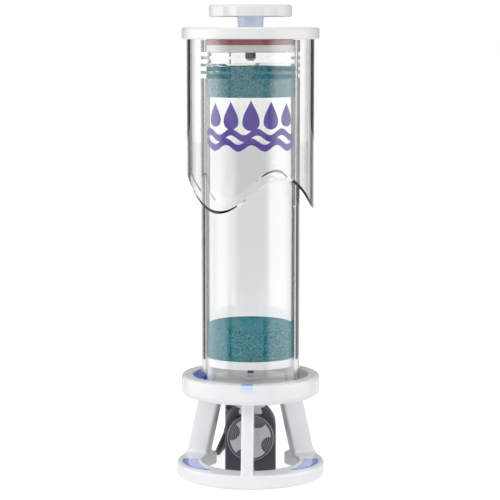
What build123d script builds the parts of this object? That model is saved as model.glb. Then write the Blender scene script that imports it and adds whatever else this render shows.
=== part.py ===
"""Aquarium fluidised-media reactor: a clear up-flow tube with two filter sponges, a lid with a hanging
drip sleeve, and a three-legged dock that carries a small submersible pump.

Millimetres, +Z up. The origin is on the floor under the tube's axis and -Y is the front.
Azimuths are in degrees from the front, positive towards +X.
"""

from build123d import *
from math import cos, pi, radians, sin, tan
import os

# ---- Driving dimensions -------------------------------------------------------------------------------

CLEARANCE = 0.1  # between pieces of one body that are fitted together
RUNNING = 0.05  # radial clearance of a shaft in its bore

# Dock
FOOT_RADIUS = 75.6
FOOT_INNER_RADIUS = 49.0
FOOT_BOTTOM = 0.8
FOOT_TOP = 14.8
FOOT_GAP_HALF_ANGLE = 42.0  # the foot ring is open at the back
RING_RADIUS = 70.8
RING_BOTTOM = 84.0
RING_TOP = 104.6
RECESS_RADIUS = 58.5
RECESS_FLOOR = 90.0
LEG_AZIMUTHS = {"front": -3.0, "left": -117.0, "right": 117.0}
LEG_THICKNESS = 12.2
LEG_TOP_RADII = (32.3, 56.5)
LEG_FOOT_RADII = (48.5, 73.0)
LEG_EDGE_ROUND = 3.0

# Reactor tube
TUBE_RADIUS = 50.0
TUBE_WALL = 5.0
TUBE_BOTTOM = 91.7
TUBE_TOP = 443.4
BORE_RADIUS = TUBE_RADIUS - TUBE_WALL
SLOT_ROWS = 4
SLOT_GROUPS = 3
SLOT_HEIGHT = 4.4
SLOT_PITCH = 7.2
TOP_SLOT_Z = 429.4
SLOT_SPAN = 93.0
FIRST_SLOT_AZIMUTH = 3.0
SPONGE_RADIUS = BORE_RADIUS - 0.4
LOWER_SPONGE = (124.3, 157.0)
UPPER_SPONGE = (387.0, 417.4)
DIFFUSER = (116.0, 124.0)
LABEL_Z = (333.0, 383.0)
LABEL_HALF_ANGLE = 60.0

# Lid and sleeve
LID_RADIUS = 69.0
LID_BOTTOM = 444.0
LID_TOP = 455.7
SLEEVE_RADIUS = 64.0
SLEEVE_WALL = 3.2
SLEEVE_GROOVE_DEPTH = 3.0
WAVE_MEAN_Z = 291.7
WAVE_HEIGHT = 18.0
SEAL_BOTTOM = 438.5
CLAMP_PLATE_Z = (431.0, 438.3)
SCREW_RADIUS = 4.0
KNOB_RADIUS = 42.1
KNOB_BOTTOM = 466.6
KNOB_TOP = 478.0
KNOB_LOBES = 6

# Pump
PUMP_WIDTH = 52.0
PUMP_BOTTOM = 3.5
PUMP_TOP = 72.0
PUMP_AXIS_Z = 41.5
VOLUTE_Y = (-10.0, 10.0)
MOTOR_Y = (10.3, 26.0)
COVER_RING_RADIUS = 24.0
COVER_RING_FRONT = -21.0
GRILLE_Y = (-20.0, -17.0)
SHUTTER_Y = (-16.6, -14.6)
DIAL_Y = (-24.4, -20.6)
DIAL_RADIUS = 20.8
DIAL_WAIST_RADIUS = 12.0
DIAL_BITE_RADIUS = 9.0
DIAL_LOBES = 4
DIAL_TURN = 25.0
SPINDLE_RADIUS = 3.0
SPIGOT_RADIUS = 10.5
PORT_RADIUS = 7.5
SHAFT_RADIUS = 1.5
ROTOR_RADIUS = 8.0
IMPELLER_RADIUS = 14.0

# Power cord
CORD_DIAMETER = 6.5
CORD_RADIUS = CORD_DIAMETER / 2
CORD_FLOOR_Z = CORD_RADIUS + CLEARANCE
CABLE_EXIT = (-14.0, 26.0, 61.0)
CABLE_DIRECTION = Vector(-0.33, 0.45, -0.83).normalized()
CABLE_BOSS_LENGTH = 11.0
CABLE_BOSS_RADIUS = 6.5
GLAND_LENGTH = 20.0
GLAND_RADII = (5.4, 4.1)
HANK_WIDTH = 46.4
HANK_LENGTH = 100.0
HANK_X = -4.25
HANK_NEAR_Y = 128.0
HANK_Z = (1.0, 43.6)
HANK_ROUND = 3.0
PLUG_X = 5.0
PLUG_WIDTH = 26.0
PLUG_HEIGHT = 14.0
PLUG_ROUND = 5.0
PIN_LENGTH = 19.0
PIN_RADIUS = 2.0
PIN_SPACING = 19.0
PLUG_Z = 50.7
PLUG_TAIL_Y = 165.5
PLUG_BACK_Y = 157.0
PLUG_FRONT_Y = 126.0

made = []


def place(radius, azimuth):
    """A point at a radius from the axis and an azimuth from the front."""
    return (radius * sin(radians(azimuth)), -radius * cos(radians(azimuth)))


def front_plane(y):
    """An upright plane facing the front, whose local axes are the model's X and Z."""
    return Plane(origin=(0, y, 0), x_dir=(1, 0, 0), z_dir=(0, -1, 0))


def finish(builder, name):
    """Labels a finished piece and keeps it for export."""
    builder.part.label = name
    made.append(builder.part)


# ---- Dock: foot ring, legs and inserts ------------------------------------------------------------------

INSERT_RADII = (54.0, 69.0)
INSERT_AZIMUTHS = (40.0, 92.0)
INSERT_TOP = FOOT_TOP + 0.2
INSERT_POCKET_Z = 13.2


def insert_outline(side, grow):
    """A kidney-shaped outline on the foot's top, pointed towards the front; side is -1 or 1."""
    inner = INSERT_RADII[0] - grow
    outer = INSERT_RADII[1] + grow
    start, end = INSERT_AZIMUTHS
    middle = (start + end) / 2
    tip_radius = (INSERT_RADII[0] + INSERT_RADII[1]) / 2 + 1.0
    tip = place(tip_radius, side * (start - grow))
    outer_rear = place(outer, side * (end + grow))
    inner_rear = place(inner, side * (end + grow))
    ThreePointArc(tip, place(outer, side * (middle - 4)), outer_rear)
    Line(outer_rear, inner_rear)
    ThreePointArc(inner_rear, place(inner + 1.5, side * (middle + 4)), tip)


GAP_REACH = 2 * FOOT_RADIUS
with BuildPart() as foot_ring:
    with BuildSketch(Plane.XY.offset(FOOT_BOTTOM)):
        Circle(FOOT_RADIUS)
        Circle(FOOT_INNER_RADIUS, mode=Mode.SUBTRACT)
        with BuildLine():
            Polyline(
                (0, 0),
                place(GAP_REACH, 180 - FOOT_GAP_HALF_ANGLE),
                place(GAP_REACH, 180 + FOOT_GAP_HALF_ANGLE),
                close=True,
            )
        make_face(mode=Mode.SUBTRACT)
    extrude(amount=FOOT_TOP - FOOT_BOTTOM)
    fillet(foot_ring.edges().filter_by(Axis.Z), radius=7)
    fillet(foot_ring.faces().sort_by(Axis.Z)[-1].edges(), radius=3)
    fillet(foot_ring.faces().sort_by(Axis.Z)[0].edges(), radius=3)
    for side in (-1, 1):
        with BuildSketch(Plane.XY.offset(INSERT_POCKET_Z)):
            with BuildLine():
                insert_outline(side, CLEARANCE)
            make_face()
        extrude(amount=FOOT_TOP, mode=Mode.SUBTRACT)
finish(foot_ring, "foot_ring")

for side, name in ((-1, "left_foot_insert"), (1, "right_foot_insert")):
    with BuildPart() as foot_insert:
        with BuildSketch(Plane.XY.offset(INSERT_POCKET_Z)):
            with BuildLine():
                insert_outline(side, 0.0)
            make_face()
        extrude(amount=INSERT_TOP - INSERT_POCKET_Z)
    finish(foot_insert, name)

PAD_RADIUS = 6.0
PAD_CIRCLE_RADIUS = 62.5
with BuildPart() as rubber_feet:
    for azimuth in LEG_AZIMUTHS.values():
        with BuildSketch():
            with Locations(place(PAD_CIRCLE_RADIUS, azimuth)):
                Circle(PAD_RADIUS)
        extrude(amount=FOOT_BOTTOM)
finish(rubber_feet, "rubber_feet")

for leg_name, azimuth in LEG_AZIMUTHS.items():
    outward = Vector(*place(1, azimuth), 0)
    leg_plane = Plane(origin=(0, 0, 0), x_dir=outward, z_dir=outward.cross(Vector(0, 0, 1)))
    with BuildPart() as leg:
        with BuildSketch(leg_plane):
            with BuildLine():
                Polyline(
                    (LEG_FOOT_RADII[0], FOOT_TOP),
                    (LEG_FOOT_RADII[1], FOOT_TOP),
                    (LEG_TOP_RADII[1], RING_BOTTOM),
                    (LEG_TOP_RADII[0], RING_BOTTOM),
                    close=True,
                )
            make_face()
        extrude(amount=LEG_THICKNESS / 2, both=True)
        long_edges = leg.edges().filter_by(lambda edge: edge.length > RING_BOTTOM - FOOT_TOP - 1)
        fillet(long_edges, radius=LEG_EDGE_ROUND)
    finish(leg, leg_name + "_leg")

# ---- Dock: ring, blue key and lock tab -------------------------------------------------------------------

ADAPTOR_NECK_RADIUS = 12.0
KEY_WIDTH = 12.5
KEY_RADII = (RECESS_RADIUS + 0.3, 62.2)
KEY_BOTTOM = 96.0


def key_outline(width, inner_radius, outer_radius):
    """A short piece of a ring, as wide as the front leg and on its azimuth."""
    azimuth = LEG_AZIMUTHS["front"]
    Circle(outer_radius)
    Circle(inner_radius, mode=Mode.SUBTRACT)
    with Locations(place(outer_radius, azimuth)):
        Rectangle(width, outer_radius, rotation=azimuth, mode=Mode.INTERSECT)


with BuildPart() as dock_ring:
    with BuildSketch(Plane.XZ):
        with BuildLine():
            Polyline(
                (ADAPTOR_NECK_RADIUS + RUNNING, RING_BOTTOM),
                (RING_RADIUS, RING_BOTTOM),
                (RING_RADIUS, RING_TOP),
                (RECESS_RADIUS, RING_TOP),
                (RECESS_RADIUS, RECESS_FLOOR),
                (ADAPTOR_NECK_RADIUS + RUNNING, RECESS_FLOOR),
                close=True,
            )
        make_face()
    revolve(axis=Axis.Z)
    circles = dock_ring.edges().filter_by(GeomType.CIRCLE)
    outer_bottom = circles.filter_by(lambda edge: edge.radius == RING_RADIUS).sort_by(Axis.Z)[0]
    top_edges = circles.group_by(Axis.Z)[-1].sort_by(lambda edge: edge.radius)
    fillet(outer_bottom, radius=6)
    fillet(top_edges[-1], radius=3.5)
    fillet(top_edges[0], radius=1.2)
    with BuildSketch(Plane.XY.offset(KEY_BOTTOM - CLEARANCE)):
        key_outline(KEY_WIDTH + 2 * CLEARANCE, RECESS_RADIUS - 1, KEY_RADII[1] + CLEARANCE)
    extrude(amount=RING_TOP, mode=Mode.SUBTRACT)
finish(dock_ring, "dock_ring")

with BuildPart() as alignment_key:
    with BuildSketch(Plane.XY.offset(KEY_BOTTOM)):
        key_outline(KEY_WIDTH, KEY_RADII[0], KEY_RADII[1])
    extrude(amount=RING_TOP - KEY_BOTTOM - 0.2)
finish(alignment_key, "alignment_key")

TAB_OUTER_RADIUS = RECESS_RADIUS - 0.3
TAB_INNER_RADIUS = TUBE_RADIUS + 1.2
TAB_AZIMUTHS = (-118.0, -66.0, -14.0)
TAB_TOP = 103.0
with BuildPart() as lock_tab:
    with BuildSketch(Plane.XY.offset(RECESS_FLOOR)):
        with BuildLine():
            tab_ends = [place(TAB_OUTER_RADIUS, azimuth) for azimuth in TAB_AZIMUTHS]
            ThreePointArc(*tab_ends)
            ThreePointArc(tab_ends[2], place(TAB_INNER_RADIUS, TAB_AZIMUTHS[1]), tab_ends[0])
        make_face()
    extrude(amount=TAB_TOP - RECESS_FLOOR)
finish(lock_tab, "lock_tab")

GASKET_THICKNESS = 1.5
with BuildPart() as dock_gasket:
    with BuildSketch(Plane.XY.offset(RECESS_FLOOR)):
        Circle(TUBE_RADIUS + 0.8)
        Circle(BORE_RADIUS - 2, mode=Mode.SUBTRACT)
    extrude(amount=GASKET_THICKNESS)
finish(dock_gasket, "dock_gasket")

# ---- Pump ------------------------------------------------------------------------------------------------

PUMP_SPIGOT_TOP = 80.0
SHOULDER_ROUND = 21.0
BOTTOM_ROUND = 9.0
MOTOR_INSET = 1.5
VOLUTE_RADIUS = 16.5
FRONT_WALL = 2.0
WELL_RADIUS = ROTOR_RADIUS + 0.8
WELL_DEPTH = 13.4
SHAFT_Y = (-7.0, 23.5)
BUSH_RADIUS = 3.5
BUSH_LENGTH = 3.0


def pump_outline(inset):
    """The pump seen from the front: broad round shoulders and smaller round bottom corners."""
    height = PUMP_TOP - PUMP_BOTTOM - 2 * inset
    with Locations((0, (PUMP_TOP + PUMP_BOTTOM) / 2)):
        outline = Rectangle(PUMP_WIDTH - 2 * inset, height)
    rows = outline.vertices().group_by(Axis.Y)
    fillet(rows[-1], radius=SHOULDER_ROUND - inset)
    fillet(rows[0], radius=BOTTOM_ROUND - inset)


with BuildPart() as pump_cover:
    with BuildSketch(front_plane(VOLUTE_Y[1])):
        pump_outline(0.0)
    extrude(amount=VOLUTE_Y[1] - VOLUTE_Y[0])
    fillet(pump_cover.faces().sort_by(Axis.Y)[0].edges(), radius=2.5)
    with BuildSketch(front_plane(VOLUTE_Y[0] + 1)):
        with Locations((0, PUMP_AXIS_Z)):
            Circle(COVER_RING_RADIUS)
    extrude(amount=VOLUTE_Y[0] + 1 - COVER_RING_FRONT)
    fillet(pump_cover.faces().sort_by(Axis.Y)[0].edges(), radius=0.9)
    with BuildSketch(front_plane(VOLUTE_Y[0])):
        with Locations((0, PUMP_AXIS_Z)):
            Circle(COVER_RING_RADIUS - 2)
    extrude(amount=VOLUTE_Y[0] - COVER_RING_FRONT + 1, mode=Mode.SUBTRACT)
    with BuildSketch(front_plane(VOLUTE_Y[0] + FRONT_WALL + 1)):
        with Locations((0, PUMP_AXIS_Z)):
            Circle(PORT_RADIUS)
    extrude(amount=FRONT_WALL + 2, mode=Mode.SUBTRACT)
    with BuildSketch(front_plane(VOLUTE_Y[1] + 1)):
        with Locations((0, PUMP_AXIS_Z)):
            Circle(VOLUTE_RADIUS)
    extrude(amount=VOLUTE_Y[1] + 1 - VOLUTE_Y[0] - FRONT_WALL, mode=Mode.SUBTRACT)
    with BuildSketch(Plane.XY.offset(PUMP_TOP - 5)):
        Circle(SPIGOT_RADIUS - 1)
    extrude(amount=PUMP_SPIGOT_TOP - PUMP_TOP + 5)
    with BuildSketch(Plane.XY.offset(PUMP_AXIS_Z)):
        Circle(PORT_RADIUS - 1)
    extrude(amount=RING_BOTTOM - PUMP_AXIS_Z, mode=Mode.SUBTRACT)
finish(pump_cover, "pump_cover")

GRILLE_SLOT_RADII = (9.0, 14.2, 18.6)
GRILLE_SLOT_WIDTH = 2.4
with BuildPart() as inlet_grille:
    with BuildSketch(front_plane(GRILLE_Y[1])):
        with Locations((0, PUMP_AXIS_Z)):
            Circle(COVER_RING_RADIUS - 2 - CLEARANCE)
            Circle(SPINDLE_RADIUS + RUNNING, mode=Mode.SUBTRACT)
            for slot_radius in GRILLE_SLOT_RADII:
                slot_line = CenterArc((0, 0), slot_radius, 10, 70, mode=Mode.PRIVATE)
                with PolarLocations(0, DIAL_LOBES, start_angle=DIAL_TURN):
                    SlotArc(slot_line, GRILLE_SLOT_WIDTH, mode=Mode.SUBTRACT)
    extrude(amount=GRILLE_Y[1] - GRILLE_Y[0])
finish(inlet_grille, "inlet_grille")

SHUTTER_PORT_CIRCLE = 13.5
SHUTTER_PORT_RADIUS = 5.5
with BuildPart() as flow_shutter:
    with BuildSketch(front_plane(SHUTTER_Y[1])):
        with Locations((0, PUMP_AXIS_Z)):
            Circle(COVER_RING_RADIUS - 2.6)
            with PolarLocations(SHUTTER_PORT_CIRCLE, DIAL_LOBES, start_angle=DIAL_TURN + 45):
                Circle(SHUTTER_PORT_RADIUS, mode=Mode.SUBTRACT)
            Circle(SPINDLE_RADIUS, mode=Mode.SUBTRACT)
    extrude(amount=SHUTTER_Y[1] - SHUTTER_Y[0])
finish(flow_shutter, "flow_shutter")

with BuildPart() as flow_dial:
    with BuildSketch(front_plane(DIAL_Y[1])):
        with Locations((0, PUMP_AXIS_Z)):
            Circle(DIAL_RADIUS)
            with PolarLocations(DIAL_WAIST_RADIUS + DIAL_BITE_RADIUS, DIAL_LOBES, start_angle=DIAL_TURN + 45):
                Circle(DIAL_BITE_RADIUS, mode=Mode.SUBTRACT)
    extrude(amount=DIAL_Y[1] - DIAL_Y[0])
    fillet(flow_dial.faces().sort_by(Axis.Y)[0].edges(), radius=0.6)
    with BuildSketch(front_plane(SHUTTER_Y[1])):
        with Locations((0, PUMP_AXIS_Z)):
            Circle(SPINDLE_RADIUS)
    extrude(amount=SHUTTER_Y[1] - DIAL_Y[1])
finish(flow_dial, "flow_dial")

with BuildPart() as pump_housing:
    with BuildSketch(front_plane(MOTOR_Y[1])):
        pump_outline(MOTOR_INSET)
    extrude(amount=MOTOR_Y[1] - MOTOR_Y[0])
    fillet(pump_housing.faces().sort_by(Axis.Y)[-1].edges(), radius=3)
    with BuildSketch(Plane(origin=CABLE_EXIT, z_dir=CABLE_DIRECTION)):
        Circle(CABLE_BOSS_RADIUS)
    extrude(amount=CABLE_BOSS_LENGTH)
    with BuildSketch(front_plane(MOTOR_Y[0] + WELL_DEPTH)):
        with Locations((0, PUMP_AXIS_Z)):
            Circle(WELL_RADIUS)
    extrude(amount=WELL_DEPTH + 1, mode=Mode.SUBTRACT)
finish(pump_housing, "pump_housing")

GROOVE_RADIUS = VOLUTE_RADIUS + 2.6
with BuildPart() as pump_seal:
    with BuildSketch(front_plane(MOTOR_Y[0])):
        with Locations((0, PUMP_AXIS_Z)):
            Circle(GROOVE_RADIUS + 1)
            Circle(GROOVE_RADIUS - 1, mode=Mode.SUBTRACT)
    extrude(amount=MOTOR_Y[0] - VOLUTE_Y[1])
finish(pump_seal, "pump_seal")

with BuildPart() as impeller_shaft:
    with BuildSketch(front_plane(SHAFT_Y[1])):
        with Locations((0, PUMP_AXIS_Z)):
            Circle(SHAFT_RADIUS)
    extrude(amount=SHAFT_Y[1] - SHAFT_Y[0])
finish(impeller_shaft, "impeller_shaft")

with BuildPart() as rear_bush:
    with BuildSketch(front_plane(SHAFT_Y[1])):
        with Locations((0, PUMP_AXIS_Z)):
            Circle(BUSH_RADIUS)
            Circle(SHAFT_RADIUS, mode=Mode.SUBTRACT)
    extrude(amount=BUSH_LENGTH)
finish(rear_bush, "rear_bush")

ROTOR_Y = (2.5, 19.0)
VANE_Y = (-6.0, 1.5)
with BuildPart() as rotor_magnet:
    with BuildSketch(front_plane(ROTOR_Y[1])):
        with Locations((0, PUMP_AXIS_Z)):
            Circle(ROTOR_RADIUS)
            Circle(SHAFT_RADIUS + RUNNING, mode=Mode.SUBTRACT)
    extrude(amount=ROTOR_Y[1] - ROTOR_Y[0])
finish(rotor_magnet, "rotor_magnet")

VANES = 6
VANE_THICKNESS = 1.6
HUB_RADIUS = 4.0
with BuildPart() as impeller:
    with BuildSketch(front_plane(ROTOR_Y[0])):
        with Locations((0, PUMP_AXIS_Z)):
            Circle(IMPELLER_RADIUS)
            Circle(SHAFT_RADIUS + RUNNING, mode=Mode.SUBTRACT)
    extrude(amount=ROTOR_Y[0] - VANE_Y[1])
    with BuildSketch(front_plane(VANE_Y[1])):
        with Locations((0, PUMP_AXIS_Z)):
            with PolarLocations(IMPELLER_RADIUS / 2 + 1, VANES):
                Rectangle(IMPELLER_RADIUS - 3, VANE_THICKNESS)
            Circle(HUB_RADIUS)
            Circle(SHAFT_RADIUS + RUNNING, mode=Mode.SUBTRACT)
    extrude(amount=VANE_Y[1] - VANE_Y[0])
finish(impeller, "impeller")

ADAPTOR_SKIRT = (73.0, RING_BOTTOM)
ADAPTOR_SKIRT_RADIUS = 13.0
ADAPTOR_TOP = 95.0
with BuildPart() as outlet_adaptor:
    with BuildSketch(Plane.XY.offset(ADAPTOR_SKIRT[0])):
        Circle(ADAPTOR_SKIRT_RADIUS)
    extrude(amount=ADAPTOR_SKIRT[1] - ADAPTOR_SKIRT[0])
    with BuildSketch(Plane.XY.offset(RING_BOTTOM)):
        Circle(ADAPTOR_NECK_RADIUS)
    extrude(amount=ADAPTOR_TOP - RING_BOTTOM)
    with BuildSketch(Plane.XY.offset(ADAPTOR_SKIRT[0])):
        Circle(SPIGOT_RADIUS - 1 + CLEARANCE)
    extrude(amount=PUMP_SPIGOT_TOP + CLEARANCE - ADAPTOR_SKIRT[0], mode=Mode.SUBTRACT)
    with BuildSketch(Plane.XY.offset(ADAPTOR_SKIRT[0])):
        Circle(PORT_RADIUS)
    extrude(amount=ADAPTOR_TOP, mode=Mode.SUBTRACT)
finish(outlet_adaptor, "outlet_adaptor")

# ---- Power cord ------------------------------------------------------------------------------------------

cord_start = Vector(CABLE_EXIT) + CABLE_DIRECTION * (CABLE_BOSS_LENGTH + GLAND_LENGTH)
CORD_ROUTE = [
    tuple(cord_start),
    tuple(cord_start + CABLE_DIRECTION * 16),
    (-33.8, 58.5, 10.3),
    (-35.5, 75.5, CORD_FLOOR_Z),
    (-31.5, 101.0, CORD_FLOOR_Z),
    (-24.0, 122.0, CORD_FLOOR_Z),
    (-24.0, 141.0, CORD_FLOOR_Z),
]
LEAD_ROUTE = [
    (PLUG_X, 222.0, HANK_Z[1] - CORD_RADIUS),
    (PLUG_X, 205.5, HANK_Z[1] - CORD_RADIUS),
    (PLUG_X, 182.0, PLUG_Z),
    (PLUG_X, PLUG_TAIL_Y, PLUG_Z),
]


def corner_radii(route):
    """The arc radius at each corner: 0.45 of its shorter run over the tangent of half the turn."""
    radii = []
    for before, corner, after in zip(route, route[1:], route[2:]):
        run_in = Vector(corner) - Vector(before)
        run_out = Vector(after) - Vector(corner)
        turn = radians(run_in.get_angle(run_out))
        radii.append(0.45 * min(run_in.length, run_out.length) / tan(turn / 2))
    return radii


for route, name in ((CORD_ROUTE, "power_cord"), (LEAD_ROUTE, "plug_lead")):
    radii = corner_radii(route)
    with BuildPart() as cord:
        with BuildLine() as cord_line:
            FilletPolyline(*route, radius=radii)
        with BuildSketch(Plane(origin=route[0], z_dir=Vector(route[1]) - Vector(route[0]))):
            Circle(CORD_RADIUS)
        sweep()
    cord_length = sum(edge.length for edge in cord_line.edges())
    print(name, "radii", [round(r, 1) for r in radii], "length", round(cord_length, 1))
    section = pi * CORD_RADIUS**2
    print(name, "volume", round(cord.part.volume), "section x length", round(section * cord_length))
    finish(cord, name)

with BuildPart() as cable_gland:
    gland_start = Vector(CABLE_EXIT) + CABLE_DIRECTION * CABLE_BOSS_LENGTH
    with BuildSketch(Plane(origin=gland_start, z_dir=CABLE_DIRECTION)):
        Circle(GLAND_RADII[0])
    with BuildSketch(Plane(origin=gland_start + CABLE_DIRECTION * GLAND_LENGTH, z_dir=CABLE_DIRECTION)):
        Circle(GLAND_RADII[1])
    loft()
finish(cable_gland, "cable_gland")

hank_middle_y = HANK_NEAR_Y + HANK_LENGTH / 2
with BuildPart() as cord_hank:
    with BuildSketch(Plane.XY.offset(HANK_Z[0])):
        with Locations((HANK_X, hank_middle_y)):
            SlotOverall(HANK_LENGTH, HANK_WIDTH, rotation=90)
    extrude(amount=HANK_Z[1] - HANK_Z[0])
    fillet(cord_hank.edges().group_by(Axis.Z)[-1], radius=HANK_ROUND)
    fillet(cord_hank.edges().group_by(Axis.Z)[0], radius=HANK_ROUND)
finish(cord_hank, "cord_hank")

TIE_THICKNESS = 0.9
TIE_WIDTH = 9.0
with BuildPart() as cord_tie:
    with BuildSketch(front_plane(hank_middle_y + TIE_WIDTH / 2)):
        with Locations((HANK_X, (HANK_Z[0] + HANK_Z[1]) / 2)):
            tie_height = HANK_Z[1] - HANK_Z[0] + 2 * TIE_THICKNESS
            RectangleRounded(HANK_WIDTH + 2 * TIE_THICKNESS, tie_height, HANK_ROUND + TIE_THICKNESS)
            RectangleRounded(HANK_WIDTH, HANK_Z[1] - HANK_Z[0], HANK_ROUND, mode=Mode.SUBTRACT)
    extrude(amount=TIE_WIDTH)
finish(cord_tie, "cord_tie")

with BuildPart() as mains_plug:
    with BuildSketch(front_plane(PLUG_BACK_Y)):
        with Locations((PLUG_X, PLUG_Z)):
            RectangleRounded(PLUG_WIDTH, PLUG_HEIGHT, PLUG_ROUND)
    extrude(amount=PLUG_BACK_Y - PLUG_FRONT_Y)
    fillet(mains_plug.faces().sort_by(Axis.Y)[-1].edges(), radius=3)
    with BuildSketch(front_plane(PLUG_TAIL_Y)):
        with Locations((PLUG_X, PLUG_Z)):
            Circle(GLAND_RADII[1])
    with BuildSketch(front_plane(PLUG_BACK_Y - 1)):
        with Locations((PLUG_X, PLUG_Z)):
            Circle(GLAND_RADII[0])
    loft()
finish(mains_plug, "mains_plug")

with BuildPart() as plug_pins:
    with BuildSketch(front_plane(PLUG_FRONT_Y)):
        with Locations((PLUG_X - PIN_SPACING / 2, PLUG_Z), (PLUG_X + PIN_SPACING / 2, PLUG_Z)):
            Circle(PIN_RADIUS)
    extrude(amount=PIN_LENGTH)
    fillet(plug_pins.faces().group_by(Axis.Y)[0].edges(), radius=1)
finish(plug_pins, "plug_pins")

# ---- Reactor tube and what it holds ----------------------------------------------------------------------

with BuildPart() as media_tube:
    with BuildSketch(Plane.XY.offset(TUBE_BOTTOM)):
        Circle(TUBE_RADIUS)
        Circle(BORE_RADIUS, mode=Mode.SUBTRACT)
    extrude(amount=TUBE_TOP - TUBE_BOTTOM)
    slot_azimuths = [FIRST_SLOT_AZIMUTH + 360 / SLOT_GROUPS * i for i in range(SLOT_GROUPS)]
    for row in range(SLOT_ROWS):
        slot_bottom = TOP_SLOT_Z - SLOT_PITCH * row - SLOT_HEIGHT / 2
        for azimuth in slot_azimuths:
            with BuildSketch(Plane.XY.offset(slot_bottom)):
                with BuildLine():
                    ends = [place(TUBE_RADIUS * 2, azimuth + SLOT_SPAN * share) for share in (0, 0.5, 1)]
                    Polyline((0, 0), *ends, close=True)
                make_face()
                Circle(TUBE_RADIUS + 1, mode=Mode.INTERSECT)
                Circle(BORE_RADIUS - 1, mode=Mode.SUBTRACT)
            extrude(amount=SLOT_HEIGHT, mode=Mode.SUBTRACT)
finish(media_tube, "media_tube")

BASE_Z = (92.0, 100.0)
SOCKET_RADIUS = ADAPTOR_NECK_RADIUS + 0.4
INLET_RADIUS = 8.0
POST_AZIMUTHS = (-102.0, -78.0, 78.0, 102.0)
POST_CIRCLE_RADIUS = 40.5
POST_RADIUS = 3.5
with BuildPart() as tube_base:
    with BuildSketch(Plane.XY.offset(BASE_Z[0])):
        Circle(BORE_RADIUS - CLEARANCE)
        Circle(INLET_RADIUS, mode=Mode.SUBTRACT)
    extrude(amount=BASE_Z[1] - BASE_Z[0])
    with BuildSketch(Plane.XY.offset(BASE_Z[0])):
        Circle(SOCKET_RADIUS)
    extrude(amount=ADAPTOR_TOP + 0.4 - BASE_Z[0], mode=Mode.SUBTRACT)
    with BuildSketch(Plane.XY.offset(BASE_Z[1])):
        with Locations(*[place(POST_CIRCLE_RADIUS, azimuth) for azimuth in POST_AZIMUTHS]):
            Circle(POST_RADIUS)
    extrude(amount=DIFFUSER[0] - BASE_Z[1])
finish(tube_base, "tube_base")

VALVE_DISC_RADIUS = 10.5
VALVE_DISC_Z = (BASE_Z[1] + CLEARANCE, 102.1)
VALVE_STEM_RADIUS = 3.0
VALVE_STEM_TOP = 109.0
with BuildPart() as valve_disc:
    with BuildSketch(Plane.XY.offset(VALVE_DISC_Z[0])):
        Circle(VALVE_DISC_RADIUS)
    extrude(amount=VALVE_DISC_Z[1] - VALVE_DISC_Z[0])
finish(valve_disc, "valve_disc")

with BuildPart() as valve_stem:
    with BuildSketch(Plane.XY.offset(VALVE_DISC_Z[1])):
        Circle(VALVE_STEM_RADIUS)
    extrude(amount=VALVE_STEM_TOP - VALVE_DISC_Z[1])
    fillet(valve_stem.faces().sort_by(Axis.Z)[-1].edges(), radius=0.8)
finish(valve_stem, "valve_stem")

DIFFUSER_HOLES = {10.0: 6, 18.0: 12, 26.0: 16, 34.0: 20, 41.0: 24}
DIFFUSER_HOLE_RADIUS = 1.5
with BuildPart() as diffuser_plate:
    with BuildSketch(Plane.XY.offset(DIFFUSER[0])):
        Circle(BORE_RADIUS - CLEARANCE)
        for circle_radius, count in DIFFUSER_HOLES.items():
            with PolarLocations(circle_radius, count):
                Circle(DIFFUSER_HOLE_RADIUS, mode=Mode.SUBTRACT)
    extrude(amount=DIFFUSER[1] - DIFFUSER[0])
finish(diffuser_plate, "diffuser_plate")

for (bottom, top), name in ((LOWER_SPONGE, "lower_sponge"), (UPPER_SPONGE, "upper_sponge")):
    with BuildPart() as sponge:
        with BuildSketch(Plane.XY.offset(bottom)):
            Circle(SPONGE_RADIUS)
        extrude(amount=top - bottom)
        fillet(sponge.edges(), radius=1)
    finish(sponge, name)

LABEL_RADII = (TUBE_RADIUS + 0.05, TUBE_RADIUS + 0.3)
with BuildPart() as label_film:
    with BuildSketch(Plane.XY.offset(LABEL_Z[0])):
        with BuildLine():
            outer = [place(LABEL_RADII[1], share * LABEL_HALF_ANGLE) for share in (-1, 0, 1)]
            inner = [place(LABEL_RADII[0], share * LABEL_HALF_ANGLE) for share in (-1, 0, 1)]
            ThreePointArc(*outer)
            ThreePointArc(*inner)
            Line(outer[0], inner[0])
            Line(outer[2], inner[2])
        make_face()
    extrude(amount=LABEL_Z[1] - LABEL_Z[0])
finish(label_film, "label_film")

# ---- Lid, clamp and knob ---------------------------------------------------------------------------------

SLEEVE_INNER_RADIUS = SLEEVE_RADIUS - SLEEVE_WALL
with BuildPart() as lid:
    with BuildSketch(Plane.XY.offset(LID_BOTTOM)):
        Circle(LID_RADIUS)
    extrude(amount=LID_TOP - LID_BOTTOM)
    fillet(lid.faces().sort_by(Axis.Z)[-1].edges(), radius=2.5)
    fillet(lid.faces().sort_by(Axis.Z)[0].edges(), radius=1.5)
    with BuildSketch(Plane.XY.offset(LID_BOTTOM)):
        Circle(SLEEVE_RADIUS + CLEARANCE)
        Circle(SLEEVE_INNER_RADIUS - CLEARANCE, mode=Mode.SUBTRACT)
    extrude(amount=SLEEVE_GROOVE_DEPTH, mode=Mode.SUBTRACT)
    with BuildSketch(Plane.XY.offset(LID_BOTTOM)):
        Circle(SCREW_RADIUS + RUNNING)
    extrude(amount=LID_TOP, mode=Mode.SUBTRACT)
finish(lid, "lid")

SEAL_INNER_RADIUS = 38.0
SEAL_RADIUS = BORE_RADIUS - 0.3
with BuildPart() as lid_spigot:
    with BuildSketch(Plane.XY.offset(SEAL_BOTTOM)):
        Circle(SEAL_INNER_RADIUS - CLEARANCE)
        Circle(SCREW_RADIUS + RUNNING, mode=Mode.SUBTRACT)
    extrude(amount=LID_BOTTOM - SEAL_BOTTOM)
finish(lid_spigot, "lid_spigot")

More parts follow.
